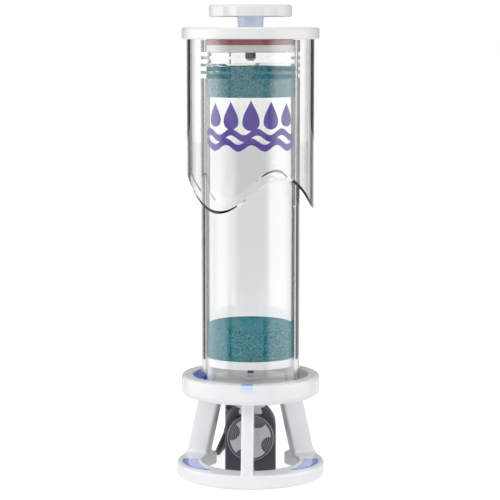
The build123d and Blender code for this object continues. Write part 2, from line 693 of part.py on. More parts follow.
with BuildPart() as lid_seal:
    with BuildSketch(Plane.XY.offset(SEAL_BOTTOM)):
        Circle(SEAL_RADIUS)
        Circle(SEAL_INNER_RADIUS, mode=Mode.SUBTRACT)
    extrude(amount=LID_BOTTOM - SEAL_BOTTOM - CLEARANCE)
    fillet(lid_seal.edges(), radius=1.2)
finish(lid_seal, "lid_seal")

with BuildPart() as clamp_plate:
    with BuildSketch(Plane.XY.offset(CLAMP_PLATE_Z[0])):
        Circle(BORE_RADIUS - 0.8)
        Circle(SCREW_RADIUS + RUNNING, mode=Mode.SUBTRACT)
    extrude(amount=CLAMP_PLATE_Z[1] - CLAMP_PLATE_Z[0])
    fillet(clamp_plate.faces().sort_by(Axis.Z)[0].edges().sort_by(lambda edge: edge.radius)[-1], radius=2)
finish(clamp_plate, "clamp_plate")

NUT_HEIGHT = 6.2
NUT_RADIUS = 6.0
with BuildPart() as clamp_nut:
    with BuildSketch(Plane.XY.offset(CLAMP_PLATE_Z[0] - NUT_HEIGHT)):
        RegularPolygon(NUT_RADIUS, 6, rotation=30)
        Circle(SCREW_RADIUS + RUNNING, mode=Mode.SUBTRACT)
    extrude(amount=NUT_HEIGHT)
finish(clamp_nut, "clamp_nut")



def wave_height_at(x, y):
    """The height of the sleeve's wavy lower edge: three waves round the sleeve, a trough on its left front."""
    return WAVE_MEAN_Z - WAVE_HEIGHT * (x**3 - 3 * x * y**2) / SLEEVE_RADIUS**3


with BuildPart() as drip_sleeve:
    sleeve_top = LID_BOTTOM + SLEEVE_GROOVE_DEPTH - CLEARANCE
    sleeve_blank_bottom = WAVE_MEAN_Z - WAVE_HEIGHT - 10
    with BuildSketch(Plane.XY.offset(sleeve_blank_bottom)):
        Circle(SLEEVE_RADIUS)
        Circle(SLEEVE_INNER_RADIUS, mode=Mode.SUBTRACT)
    extrude(amount=sleeve_top - sleeve_blank_bottom)
    wave_grid = [-72.0 + 16.0 * step for step in range(10)]
    wave_points = [[Vector(x, y, wave_height_at(x, y)) for x in wave_grid] for y in wave_grid]
    wave_face = Face.make_surface_from_array_of_points(wave_points, tol=0.001)
    wave_cutter = Solid.extrude(wave_face, Vector(0, 0, -4 * (WAVE_HEIGHT + 10)))
    add(wave_cutter, mode=Mode.SUBTRACT)
finish(drip_sleeve, "drip_sleeve")

STEM_RADII = (12.7, 13.2)
with BuildPart() as knob_stem:
    with BuildSketch(Plane.XY.offset(LID_TOP + CLEARANCE)):
        Circle(STEM_RADII[0])
    with BuildSketch(Plane.XY.offset(KNOB_BOTTOM)):
        Circle(STEM_RADII[1])
    loft()
    with BuildSketch(Plane.XY.offset(LID_TOP)):
        Circle(SCREW_RADIUS)
    extrude(amount=KNOB_BOTTOM - LID_TOP, mode=Mode.SUBTRACT)
finish(knob_stem, "knob_stem")

SCALLOP_RADIUS = 18.0
SCALLOP_DEPTH = 2.2
SCREW_HEAD_Z = 472.0
with BuildPart() as knob:
    with BuildSketch(Plane.XY.offset(KNOB_BOTTOM)) as knob_outline:
        Circle(KNOB_RADIUS)
        with PolarLocations(KNOB_RADIUS + SCALLOP_RADIUS - SCALLOP_DEPTH, KNOB_LOBES):
            Circle(SCALLOP_RADIUS, mode=Mode.SUBTRACT)
        fillet(knob_outline.vertices(), radius=4)
    extrude(amount=KNOB_TOP - KNOB_BOTTOM)
    fillet(knob.faces().sort_by(Axis.Z)[-1].edges(), radius=2.4)
    fillet(knob.faces().sort_by(Axis.Z)[0].edges(), radius=0.8)
    with BuildSketch(Plane.XY.offset(KNOB_BOTTOM)):
        Circle(SCREW_RADIUS)
    extrude(amount=SCREW_HEAD_Z - KNOB_BOTTOM, mode=Mode.SUBTRACT)
finish(knob, "knob")

with BuildPart() as clamp_screw:
    with BuildSketch(Plane.XY.offset(CLAMP_PLATE_Z[0] - NUT_HEIGHT - 2)):
        Circle(SCREW_RADIUS)
    extrude(amount=SCREW_HEAD_Z - CLAMP_PLATE_Z[0] + NUT_HEIGHT + 2)
    fillet(clamp_screw.faces().sort_by(Axis.Z)[0].edges(), radius=0.8)
finish(clamp_screw, "clamp_screw")

# ---- Export ----------------------------------------------------------------------------------------------

os.makedirs("parts", exist_ok=True)
for piece in made:
    export_step(piece, "parts/" + piece.label + ".step")
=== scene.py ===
"""Aquarium media reactor: finishes, soft pieces, cord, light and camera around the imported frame.

Metres, +Z up, -Y is the front. The routes are written in millimetres and scaled by MM.
"""

from math import cos, pi, radians, sin, sqrt

import bmesh
import bpy
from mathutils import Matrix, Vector, noise


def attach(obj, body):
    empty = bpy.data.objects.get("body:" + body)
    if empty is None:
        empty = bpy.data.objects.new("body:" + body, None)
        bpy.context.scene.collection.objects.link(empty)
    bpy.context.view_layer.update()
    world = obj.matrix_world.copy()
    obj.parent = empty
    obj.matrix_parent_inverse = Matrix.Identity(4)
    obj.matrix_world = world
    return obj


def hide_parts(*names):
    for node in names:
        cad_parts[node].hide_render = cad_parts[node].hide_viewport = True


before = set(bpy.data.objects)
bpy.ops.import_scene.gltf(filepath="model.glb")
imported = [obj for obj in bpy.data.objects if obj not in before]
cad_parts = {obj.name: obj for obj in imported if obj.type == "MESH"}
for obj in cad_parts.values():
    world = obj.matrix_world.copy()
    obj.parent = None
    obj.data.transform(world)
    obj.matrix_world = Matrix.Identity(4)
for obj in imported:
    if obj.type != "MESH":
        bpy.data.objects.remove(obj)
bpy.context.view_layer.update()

MM = 0.001
scene = bpy.context.scene
scene.view_settings.view_transform = "Standard"

# ---- Camera ----------------------------------------------------------------------------------------------

CAMERA_SIDE = -0.0005
CAMERA_DISTANCE = 1.8
CAMERA_HEIGHT = 0.4423
CAMERA_TILT = 6.68
CAMERA_LENS = 128.45

camera_data = bpy.data.cameras.new("camera")
camera_data.lens = CAMERA_LENS
camera_data.sensor_width = 36
camera = bpy.data.objects.new("camera", camera_data)
camera.location = (CAMERA_SIDE, -CAMERA_DISTANCE, CAMERA_HEIGHT)
camera.rotation_euler = (radians(90 - CAMERA_TILT), 0, 0)
scene.collection.objects.link(camera)
scene.camera = camera


# ---- Node helpers ----------------------------------------------------------------------------------------

def shader(name, color, roughness=0.4, **values):
    """A new Principled material. Extra values go to the sockets whose names they match."""
    material = bpy.data.materials.new(name)
    material.use_nodes = True
    principled = material.node_tree.nodes["Principled BSDF"]
    principled.inputs["Base Color"].default_value = (*color, 1)
    principled.inputs["Roughness"].default_value = roughness
    for key, value in values.items():
        principled.inputs[key.replace("_", " ")].default_value = value
    return material


def node(owner, kind, **settings):
    """A new node of a material or world. Settings are the node's own, or values of its sockets."""
    made = owner.node_tree.nodes.new(kind)
    for key, value in settings.items():
        if hasattr(made, key):
            setattr(made, key, value)
        else:
            made.inputs[key.replace("_", " ")].default_value = value
    return made


def link(owner, source, target):
    owner.node_tree.links.new(source, target)


def mixed(owner, factor, first, second, blend_type="MIX"):
    """Two colours mixed by a factor. Each of the three is a value or another node's output."""
    made = node(owner, "ShaderNodeMix", data_type="RGBA", blend_type=blend_type)
    for socket, value in (("Factor", factor), ("A", first), ("B", second)):
        if isinstance(value, bpy.types.NodeSocket):
            link(owner, value, made.inputs[socket])
        else:
            made.inputs[socket].default_value = value
    return made.outputs["Result"]


def product(owner, first, second):
    made = node(owner, "ShaderNodeMath", operation="MULTIPLY")
    link(owner, first, made.inputs[0])
    link(owner, second, made.inputs[1])
    return made.outputs["Value"]


def principled_of(material):
    return material.node_tree.nodes["Principled BSDF"]


def coordinates(material):
    """Object coordinates in metres, which are the frame's own."""
    return node(material, "ShaderNodeTexCoord").outputs["Object"]


def along(material, axis):
    """The object coordinate along X, Y or Z."""
    split = node(material, "ShaderNodeSeparateXYZ")
    link(material, coordinates(material), split.inputs[0])
    return split.outputs[axis]


def noise_node(material, scale, detail=3.0, roughness=0.55):
    made = node(material, "ShaderNodeTexNoise", Scale=scale, Detail=detail, Roughness=roughness)
    link(material, coordinates(material), made.inputs["Vector"])
    return made


def ramp(material, value, stops):
    """A colour ramp over a value, from (position, colour) stops."""
    made = node(material, "ShaderNodeValToRGB")
    elements = made.color_ramp.elements
    while len(elements) < len(stops):
        elements.new(0.5)
    for element, (position, color) in zip(elements, stops):
        element.position = position
        element.color = (*color, 1)
    link(material, value, made.inputs["Fac"])
    return made.outputs["Color"]


def level(material, value, low, high, to_low, to_high):
    """A number mapped from one range to another."""
    made = node(material, "ShaderNodeMapRange")
    for index, number in enumerate((low, high, to_low, to_high)):
        made.inputs[index + 1].default_value = number
    link(material, value, made.inputs["Value"])
    return made.outputs["Result"]


def bump(material, height, strength, distance):
    """Roughens the surface by a height that a node gives."""
    made = node(material, "ShaderNodeBump", Strength=strength, Distance=distance)
    link(material, height, made.inputs["Height"])
    link(material, made.outputs["Normal"], principled_of(material).inputs["Normal"])


DRIFT_SCALE, GLOSS_SCALE = 22.0, 60.0
GRAIN_DEPTH = 0.0002


def moulded(name, color, roughness, grain_scale=900.0, grain=0.05, shift=0.04, **values):
    """Moulded plastic or rubber: faint colour drift, uneven gloss and a fine surface grain."""
    material = shader(name, color, roughness, **values)
    drift = noise_node(material, DRIFT_SCALE)
    darker = tuple(c * (1 - shift) for c in color)
    lighter = tuple(min(1.0, c * (1 + shift)) for c in color)
    tint = ramp(material, drift.outputs["Fac"], [(0.3, darker), (0.7, lighter)])
    link(material, tint, principled_of(material).inputs["Base Color"])
    gloss = level(material, noise_node(material, GLOSS_SCALE).outputs["Fac"], 0.3, 0.7,
                  roughness * 0.85, roughness * 1.2)
    link(material, gloss, principled_of(material).inputs["Roughness"])
    bump(material, noise_node(material, grain_scale).outputs["Fac"], grain, GRAIN_DEPTH)
    return material


# ---- Materials -------------------------------------------------------------------------------------------

white = moulded("white_plastic", (0.88, 0.88, 0.885), 0.22, grain=0.03, shift=0.015, Coat_Weight=0.3,
                Coat_Roughness=0.08)
satin_white = moulded("satin_white", (0.84, 0.85, 0.86), 0.35, grain=0.04, shift=0.02)
clear = shader("clear_acrylic", (0.985, 0.99, 0.988), 0.0, Transmission_Weight=1.0, IOR=1.49)
blue_clear = moulded("blue_clear", (0.34, 0.43, 0.90), 0.14, shift=0.05, grain=0.02, Coat_Weight=0.4,
                     Subsurface_Weight=0.15, Subsurface_Scale=0.002)
# Knob stem: its emission is a painted glow that stands in for light coming through the translucent plastic
pale_blue_painted_glow = moulded("pale_blue_painted_glow", (0.78, 0.86, 0.98), 0.25, shift=0.03, grain=0.02,
                    Emission_Color=(0.55, 0.66, 0.9, 1), Emission_Strength=0.22)
rim_blue = moulded("rim_blue", (0.02, 0.04, 0.42), 0.2, shift=0.1, grain=0.02, Coat_Weight=0.4)
red = moulded("red_silicone", (0.33, 0.010, 0.006), 0.6, shift=0.06, Specular_IOR_Level=0.1)
black_rubber = moulded("black_rubber", (0.010, 0.010, 0.011), 0.6, shift=0.15, Specular_IOR_Level=0.2)
pump_plastic = moulded("pump_plastic", (0.070, 0.062, 0.088), 0.38, grain_scale=1600.0, grain=0.12, shift=0.10)
# Lighter grey for the pump's moulded rings: a painted highlight along the ridges
ridge_painted_highlight = moulded("ridge_painted_highlight", (0.34, 0.33, 0.37), 0.35, grain_scale=1600.0, grain=0.05, shift=0.08)
dial_grey = moulded("dial_grey", (0.50, 0.50, 0.51), 0.42, grain_scale=1400.0, grain=0.10, shift=0.05)
light_grey = moulded("light_grey", (0.62, 0.62, 0.60), 0.35, shift=0.05)
ceramic = moulded("ceramic", (0.85, 0.84, 0.80), 0.15, shift=0.02)
ferrite = moulded("ferrite", (0.03, 0.03, 0.033), 0.45, shift=0.2)
cord_rubber = moulded("cord_rubber", (0.012, 0.012, 0.013), 0.36, grain_scale=2200.0, grain=0.15, shift=0.2)
nickel = moulded("nickel", (0.72, 0.70, 0.66), 0.22, shift=0.04, Metallic=1.0)
strap = moulded("strap", (0.02, 0.02, 0.022), 0.85, grain_scale=3500.0, grain=0.9, shift=0.25, Sheen_Weight=0.4)

# Filter foam: bright strands, and pores darkened by painted shade in their hollows
PORE_SHADE_SHARE = 0.75
PORE_DEPTH = 0.0012
foam = shader("foam", (0.0, 0.16, 0.20), 0.9, Specular_IOR_Level=0.05)
pores = node(foam, "ShaderNodeTexVoronoi", Scale=640.0, Randomness=1.0)
link(foam, coordinates(foam), pores.inputs["Vector"])
pore_depth = level(foam, pores.outputs["Distance"], 0.15, 0.75, 0.0, 1.0)
specks = noise_node(foam, 820.0, 2.0, 0.7)
strand_color = ramp(foam, specks.outputs["Fac"], [(0.38, (0.0, 0.060, 0.085)), (0.50, (0.0, 0.165, 0.215)),
                                                  (0.62, (0.02, 0.44, 0.52))])
# Painted shade: each pore turns darker the deeper it goes, as shade would fall in it
painted_pore_shade = ramp(foam, pore_depth, [(0.0, (0.25, 0.35, 0.38)), (0.45, (1.0, 1.0, 1.0))])
foam_color = mixed(foam, PORE_SHADE_SHARE, strand_color, painted_pore_shade, "MULTIPLY")
link(foam, foam_color, principled_of(foam).inputs["Base Color"])
bump(foam, pore_depth, 0.8, PORE_DEPTH)

# Label ink on the tube
ink = moulded("ink", (0.075, 0.035, 0.28), 0.5, grain_scale=700.0, grain=0.02, shift=0.08)

# Lock tab: deep blue at its left end, fading towards the front
tab_blue = shader("tab_blue", (0.05, 0.25, 0.85), 0.15, Coat_Weight=0.5)
tab_fade = level(tab_blue, along(tab_blue, "X"), -0.050, -0.012, 0.0, 1.0)
tab_color = ramp(tab_blue, tab_fade, [(0.0, (0.0, 0.10, 0.72)), (0.3, (0.10, 0.36, 0.95)),
                                      (0.55, (0.55, 0.76, 1.0)), (1.0, (0.85, 0.93, 1.0))])
link(tab_blue, tab_color, principled_of(tab_blue).inputs["Base Color"])

# Dock ring: white, with a painted pale blue glow on the wall in front of the blue key, standing in for its
# light showing faintly through
KEY_MIDDLE_X = -0.0034
KEY_PAINTED_GLOW = (0.60, 0.76, 1.0, 1)
ring_white = moulded("ring_white", (0.86, 0.86, 0.865), 0.22, grain=0.03, shift=0.015, Coat_Weight=0.3,
                     Coat_Roughness=0.08)
key_offset = node(ring_white, "ShaderNodeMath", operation="ADD")
key_offset.inputs[1].default_value = -KEY_MIDDLE_X
link(ring_white, along(ring_white, "X"), key_offset.inputs[0])
key_width = node(ring_white, "ShaderNodeMath", operation="ABSOLUTE")
link(ring_white, key_offset.outputs["Value"], key_width.inputs[0])
key_sides = level(ring_white, key_width.outputs["Value"], 0.0056, 0.0066, 1.0, 0.0)
key_height = level(ring_white, along(ring_white, "Z"), 0.0965, 0.1030, 0.0, 1.0)
key_front = level(ring_white, along(ring_white, "Y"), -0.060, -0.058, 1.0, 0.0)
painted_glow_mask = product(ring_white, product(ring_white, key_sides, key_height), key_front)
ring_color = principled_of(ring_white).inputs["Base Color"]
link(ring_white, mixed(ring_white, painted_glow_mask, ring_color.links[0].from_socket, KEY_PAINTED_GLOW), ring_color)

FINISHES = {
    "foot_ring": white, "left_foot_insert": blue_clear, "right_foot_insert": blue_clear,
    "rubber_feet": black_rubber, "dock_ring": ring_white, "alignment_key": blue_clear, "lock_tab": tab_blue,
    "dock_gasket": satin_white, "pump_cover": pump_plastic, "inlet_grille": pump_plastic,
    "flow_shutter": pump_plastic, "flow_dial": dial_grey, "pump_housing": pump_plastic,
    "pump_seal": black_rubber, "impeller_shaft": ceramic, "rear_bush": black_rubber,
    "rotor_magnet": ferrite, "impeller": dial_grey, "outlet_adaptor": light_grey, "cord_tie": strap,
    "mains_plug": cord_rubber, "plug_pins": nickel, "media_tube": clear, "tube_base": satin_white,
    "valve_disc": satin_white, "valve_stem": light_grey, "diffuser_plate": satin_white, "lid": white,
    "lid_spigot": satin_white, "lid_seal": red, "clamp_plate": satin_white, "clamp_nut": black_rubber,
    "drip_sleeve": clear, "knob_stem": pale_blue_painted_glow, "knob": white, "clamp_screw": satin_white,
}
for node_name, finish in FINISHES.items():
    cad_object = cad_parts[node_name]
    for material_slot in cad_object.material_slots:
        material_slot.material = finish
for node_name in ("media_tube", "drip_sleeve"):
    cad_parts[node_name].visible_shadow = False


# ---- Mesh helpers ----------------------------------------------------------------------------------------

def piece(name, bm, material, body, smooth=True):
    """Turns a bmesh into a piece that rides on a body."""
    bmesh.ops.recalc_face_normals(bm, faces=bm.faces)
    mesh = bpy.data.meshes.new(name)
    bm.to_mesh(mesh)
    bm.free()
    mesh.polygons.foreach_set("use_smooth", [smooth] * len(mesh.polygons))
    made = bpy.data.objects.new(name, mesh)
    scene.collection.objects.link(made)
    mesh.materials.append(material)
    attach(made, body)
    return made


def skin(bm, rings):
    """Joins rings of vertices with quads, and closes the two ends."""
    for lower, upper in zip(rings, rings[1:]):
        for i in range(len(lower)):
            j = (i + 1) % len(lower)
            bm.faces.new((lower[i], lower[j], upper[j], upper[i]))
    bm.faces.new(list(reversed(rings[0])))
    bm.faces.new(rings[-1])


def turned(bm, profile, segments, centre=(0, 0, 0), upright=True):
    """A closed turned shape from (radius, height) points, about Z or, lying, about Y towards the front."""
    rings = []
    for radius, height in profile:
        ring = []
        for k in range(segments):
            angle = 2 * pi * k / segments
            if upright:
                spot = Vector((radius * cos(angle), radius * sin(angle), height))
            else:
                spot = Vector((radius * cos(angle), -height, radius * sin(angle)))
            ring.append(bm.verts.new(spot + Vector(centre)))
        rings.append(ring)
    for index, ring in enumerate(rings):
        following = rings[(index + 1) % len(rings)]
        for i in range(segments):
            j = (i + 1) % segments
            bm.faces.new((ring[i], ring[j], following[j], following[i]))


def scaled(profile):
    return [(radius * MM, height * MM) for radius, height in profile]


def at(radius, azimuth):
    """A point at a radius and an azimuth from the front, positive towards +X."""
    return Vector((radius * sin(radians(azimuth)), -radius * cos(radians(azimuth)), 0))


# ---- Power cord ------------------------------------------------------------------------------------------

CORD_DIAMETER = 6.5
CORD_FLOOR = 3.35
EXIT_DIRECTION = Vector((-0.33, 0.45, -0.83)).normalized()
CABLE_EXIT = Vector((-14.0, 26.0, 61.0))
BOSS_LENGTH = 11.0
GLAND_LENGTH = 20.0
HANK_FLOOR = CORD_FLOOR + 1.0
HANK_LEFT, HANK_RIGHT = -24.2, 15.7
HANK_NEAR_BEND, HANK_FAR_BEND = 151.2, 204.8
HANK_STRAIGHT_END = 6
HANK_TURNS = 5.5
STEPS_PER_TURN = 12
TURN_RISE = 6.55
OCTAGON = 0.414
PLUG_TAIL = [(12.5, 186.5, 46.5), (7.0, 174.0, 50.7), (5.0, 163.5, 50.7)]

gland_start = CABLE_EXIT + EXIT_DIRECTION * BOSS_LENGTH
cord_exit = gland_start + EXIT_DIRECTION * GLAND_LENGTH
cord_points = [
    cord_exit,
    cord_exit + EXIT_DIRECTION * 16,
    Vector((-33.8, 58.5, 10.3)),
    Vector((-35.5, 75.5, CORD_FLOOR)),
    Vector((-31.5, 101.0, CORD_FLOOR)),
    Vector((-25.5, 124.0, CORD_FLOOR)),
]


def hank_points():
    """Control points round the hank: up the left, round the far bend, down the right, round the near bend."""
    middle = (HANK_LEFT + HANK_RIGHT) / 2
    half = (HANK_RIGHT - HANK_LEFT) / 2
    short = half * OCTAGON
    straight_near, straight_far = HANK_NEAR_BEND + HANK_STRAIGHT_END, HANK_FAR_BEND - HANK_STRAIGHT_END
    turn_shape = [
        (HANK_LEFT, straight_near), (HANK_LEFT, straight_far),
        (middle - half, HANK_FAR_BEND + short), (middle - short, HANK_FAR_BEND + half),
        (middle + short, HANK_FAR_BEND + half), (middle + half, HANK_FAR_BEND + short),
        (HANK_RIGHT, straight_far), (HANK_RIGHT, straight_near),
        (middle + half, HANK_NEAR_BEND - short), (middle + short, HANK_NEAR_BEND - half),
        (middle - short, HANK_NEAR_BEND - half), (middle - half, HANK_NEAR_BEND - short),
    ]
    points = []
    for step in range(int(HANK_TURNS * STEPS_PER_TURN) + 1):
        x, y = turn_shape[step % STEPS_PER_TURN]
        points.append(Vector((x, y, HANK_FLOOR + TURN_RISE * step / STEPS_PER_TURN)))
    return points


cord_points += hank_points() + [Vector(spot) for spot in PLUG_TAIL]

cord_curve = bpy.data.curves.new("power_cord_run", "CURVE")
cord_curve.dimensions = "3D"
cord_spline = cord_curve.splines.new("NURBS")
cord_spline.points.add(len(cord_points) - 1)
for spline_point, spot in zip(cord_spline.points, cord_points):
    spline_point.co = (*(spot * MM), 1)
cord_spline.order_u = 3
cord_spline.use_endpoint_u = True
cord_spline.resolution_u = 10
cord_curve.bevel_depth = CORD_DIAMETER / 2 * MM
cord_curve.bevel_resolution = 7
cord_curve.use_fill_caps = True
cord_curve.materials.append(cord_rubber)
cord_object = bpy.data.objects.new("power_cord_run", cord_curve)
scene.collection.objects.link(cord_object)
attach(cord_object, "dock")
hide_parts("power_cord", "plug_lead", "cord_hank")

# Strain relief: a tapered sleeve with cut ribs
gland_axis = EXIT_DIRECTION.to_track_quat("Z", "Y").to_matrix()
GLAND_RADIUS = 5.4
GLAND_TAPER = 1.3
GLAND_RIBS = 6
RIB_START, RIB_PITCH = 2.0, 2.9
GLAND_SEGMENTS = 40
gland_profile = [(GLAND_RADIUS, 0.0)]
for rib in range(GLAND_RIBS):
    start = RIB_START + rib * RIB_PITCH
    outer = GLAND_RADIUS - GLAND_TAPER * (start / GLAND_LENGTH)
    gland_profile += [(outer, start), (outer - 0.75, start + 0.3), (outer - 0.8, start + 0.9),
                      (outer - 0.12, start + 1.2)]
gland_profile += [(4.1, GLAND_LENGTH - 0.4), (3.75, GLAND_LENGTH)]
gland_bm = bmesh.new()
gland_rings = []
for radius, height in gland_profile:
    ring = []
    for k in range(GLAND_SEGMENTS):
        angle = 2 * pi * k / GLAND_SEGMENTS
        across = gland_axis @ Vector((radius * cos(angle), radius * sin(angle), height))
        ring.append(gland_bm.verts.new((gland_start + across) * MM))
    gland_rings.append(ring)
skin(gland_bm, gland_rings)
gland = piece("strain_relief", gland_bm, cord_rubber, "dock")
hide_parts("cable_gland")

# ---- Legs: rounded bars that flare where they meet the foot and the ring ---------------------------------

FOOT_TOP, RING_BOTTOM = 14.8, 84.0
LEGS = {"front_leg": -3.0, "left_leg": -117.0, "right_leg": 117.0}
LEG_FOOT, LEG_TOP = (48.5, 73.0), (32.3, 56.5)
LEG_THICKNESS = 12.2
LEG_CORNER = 3.0
FLARE_FOOT, FLARE_TOP = 5.5, 3.0
OUTWARD_FLARE, INWARD_FLARE = 0.6, 1.0
FRONT_FLARE_SHARE = 0.15
UP = Vector((0, 0, 1))


def quarter_flare(distance, reach):
    """How far a fillet of that radius stands out at a distance from its corner."""
    if distance >= reach:
        return 0.0
    return reach - sqrt(reach**2 - (reach - distance) ** 2)


def rounded_section(inner, outer, half_thickness, corner):
    """(radial, sideways) points round a rectangle with rounded corners."""
    points = []
    side = half_thickness - corner
    for cx, cy, start in ((outer - corner, side, 0), (inner + corner, side, 90),
                          (inner + corner, -side, 180), (outer - corner, -side, 270)):
        for k in range(7):
            angle = radians(start + 15 * k)
            points.append((cx + corner * cos(angle), cy + corner * sin(angle)))
    return points


for leg_name, azimuth in LEGS.items():
    radial = at(1, azimuth)
    sideways = radial.cross(UP)
    leg_bm = bmesh.new()
    leg_rings = []
    straight = RING_BOTTOM - FOOT_TOP - FLARE_FOOT - FLARE_TOP
    heights = [FOOT_TOP - 1.2] + [FOOT_TOP + FLARE_FOOT * (1 - cos(radians(10 * k))) for k in range(1, 10)]
    heights += [FOOT_TOP + FLARE_FOOT + straight * k / 8 for k in range(1, 8)]
    heights += [RING_BOTTOM - FLARE_TOP * (1 - cos(radians(10 * k))) for k in range(9, 0, -1)]
    heights += [RING_BOTTOM + 0.3]
    for height in heights:
        share = min(1.0, max(0.0, (height - FOOT_TOP) / (RING_BOTTOM - FOOT_TOP)))
        grow = quarter_flare(max(0.0, height - FOOT_TOP), FLARE_FOOT) + quarter_flare(
            max(0.0, RING_BOTTOM - height), FLARE_TOP)
        inner = LEG_FOOT[0] + (LEG_TOP[0] - LEG_FOOT[0]) * share - min(grow, INWARD_FLARE)
        outer = LEG_FOOT[1] + (LEG_TOP[1] - LEG_FOOT[1]) * share + min(grow, OUTWARD_FLARE)
        side_grow = grow if leg_name != "front_leg" else grow * FRONT_FLARE_SHARE
        section = rounded_section(inner, outer, LEG_THICKNESS / 2 + side_grow, LEG_CORNER)
        leg_rings.append([leg_bm.verts.new((radial * r + sideways * s + Vector((0, 0, height))) * MM)
                          for r, s in section])
    skin(leg_bm, leg_rings)
    leg = piece(leg_name + "_moulding", leg_bm, white, "dock")
    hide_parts(leg_name)

# ---- Sponges: open foam with a rough skin ----------------------------------------------------------------

SPONGE_RADIUS = 44.6
SPONGES = {"lower_sponge": (124.3, 157.0), "upper_sponge": (387.0, 417.4)}
SPONGE_SEGMENTS = 240
SPONGE_ROWS = 34
for sponge_name, (bottom, top) in SPONGES.items():
    sponge_bm = bmesh.new()
    profile = [(radius, bottom) for radius in (6, 14, 22, 30, 37, 42, SPONGE_RADIUS - 0.9)]
    profile += [(SPONGE_RADIUS - 0.25, bottom + 0.3)]
    profile += [(SPONGE_RADIUS, bottom + 0.9 + (top - bottom - 1.8) * k / SPONGE_ROWS)
                for k in range(SPONGE_ROWS + 1)]
    profile += [(SPONGE_RADIUS - 0.25, top - 0.3)]
    profile += [(radius, top) for radius in (SPONGE_RADIUS - 0.9, 42, 37, 30, 22, 14, 6)]
    sponge_rings = []
    for radius, height in profile:
        ring = []
        for k in range(SPONGE_SEGMENTS):
            angle = 2 * pi * k / SPONGE_SEGMENTS
            spot = Vector((radius * cos(angle), radius * sin(angle), height))
            rough = noise.noise(spot * 0.85) * 0.30 + noise.noise(spot * 0.25) * 0.15
            inward = 0.35 - rough
            on_side = radius > SPONGE_RADIUS - 1
            direction = Vector((cos(angle), sin(angle), 0)) if on_side else Vector((0, 0, 0))
            lift = 0.0 if on_side else (inward if height == bottom else -inward)
            ring.append(sponge_bm.verts.new((spot - direction * max(0.0, inward) + Vector((0, 0, lift))) * MM))
        sponge_rings.append(ring)
    skin(sponge_bm, sponge_rings)
    sponge = piece(sponge_name + "_foam", sponge_bm, foam, "reactor")
    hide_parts(sponge_name)

# ---- Label: droplets over waves, printed round the tube's front ------------------------------------------

LABEL_RADIUS = 50.1
INK_THICKNESS = 0.12


def wrapped(bm, u, z, radius):
    """A vertex on the tube: u is the distance round it from the front."""
    return bm.verts.new(at(radius, u / LABEL_RADIUS * 180 / pi) * MM + Vector((0, 0, z * MM)))


def band(bm, start, end, low, high, radius, columns=72):
    """A printed band between two height curves."""
    previous = None
    for column in range(columns + 1):
        u = start + (end - start) * column / columns
        outer = radius + INK_THICKNESS
        corners = ((radius, low(u)), (radius, high(u)), (outer, high(u)), (outer, low(u)))
        edge = [wrapped(bm, u, z, r) for r, z in corners]
        if previous:
            for i in range(4):
                j = (i + 1) % 4
                bm.faces.new((previous[i], previous[j], edge[j], edge[i]))
        else:
            bm.faces.new(edge)
        previous = edge
    bm.faces.new(list(reversed(previous)))


def drop_outline(size, k, count):
    """A point on the outline of a falling drop, pointed at its top."""
    angle = 2 * pi * k / count
    pinch = (0.5 - 0.5 * cos(angle)) ** 0.8
    return size * 0.50 * sin(angle) * pinch, size * 0.62 * cos(angle)


def drop(bm, u, z, size, radius, count=40):
    """A printed drop, with a pinched top."""
    layers = []
    middle = size * 0.12
    for depth in (0.0, INK_THICKNESS):
        rings = []
        for share in (0.05, 0.5, 1.0):
            ring = []
            for k in range(count):
                du, dz = drop_outline(size, k, count)
                ring.append(wrapped(bm, u + du * share, z - middle + (dz + middle) * share, radius + depth))
            rings.append(ring)
        layers.append(rings)
    for rings in layers:
        for inner, outer in zip(rings, rings[1:]):
            for i in range(count):
                j = (i + 1) % count
                bm.faces.new((inner[i], inner[j], outer[j], outer[i]))
        bm.faces.new(rings[0])
    for i in range(count):
        j = (i + 1) % count
        bm.faces.new((layers[0][-1][i], layers[0][-1][j], layers[1][-1][j], layers[1][-1][i]))


def wave(offset, height, phase):
    """A wavy height curve round the tube."""
    return lambda u: offset + height * sin(2 * pi * u / WAVE_LENGTH + phase)


DROPS = [(-37.5, 370.5, 19.5), (-19.5, 370.0, 22.5), (0.5, 370.0, 24.5), (20.5, 370.0, 22.5),
         (38.5, 370.5, 19.5)]
WAVES = [(350.5, 3.2, 0.0), (341.0, 3.2, 1.3)]
WAVE_BAND = 3.4
WAVE_LENGTH = 26.0
WAVE_END = 50.0
ink_bm = bmesh.new()
for u, z, size in DROPS:
    drop(ink_bm, u, z, size, LABEL_RADIUS)
for offset, height, phase in WAVES:
    band(ink_bm, -WAVE_END, WAVE_END, wave(offset - WAVE_BAND, height, phase),
         wave(offset + WAVE_BAND, height, phase), LABEL_RADIUS)
label = piece("label_print_waves", ink_bm, ink, "reactor", smooth=False)
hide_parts("label_film")

# ---- Pump front: moulded rings on the grille, the cover and the dial -------------------------------------

PUMP_AXIS = 41.5
GRILLE_FRONT = 20.0
DIAL_FRONT = 24.4
RIDGE = 0.45


def ridges(name, radii, front, half_width, material, body):
    """Fine raised rings on a face that looks towards the front."""
    bm = bmesh.new()
    for radius in radii:
        profile = [(radius - half_width, front - 0.3), (radius - half_width * 0.8, front + RIDGE * 0.7),
                   (radius, front + RIDGE), (radius + half_width * 0.8, front + RIDGE * 0.7),
                   (radius + half_width, front - 0.3)]
        turned(bm, scaled(profile), 96, (0, 0, PUMP_AXIS * MM), upright=False)
    return piece(name, bm, material, body)


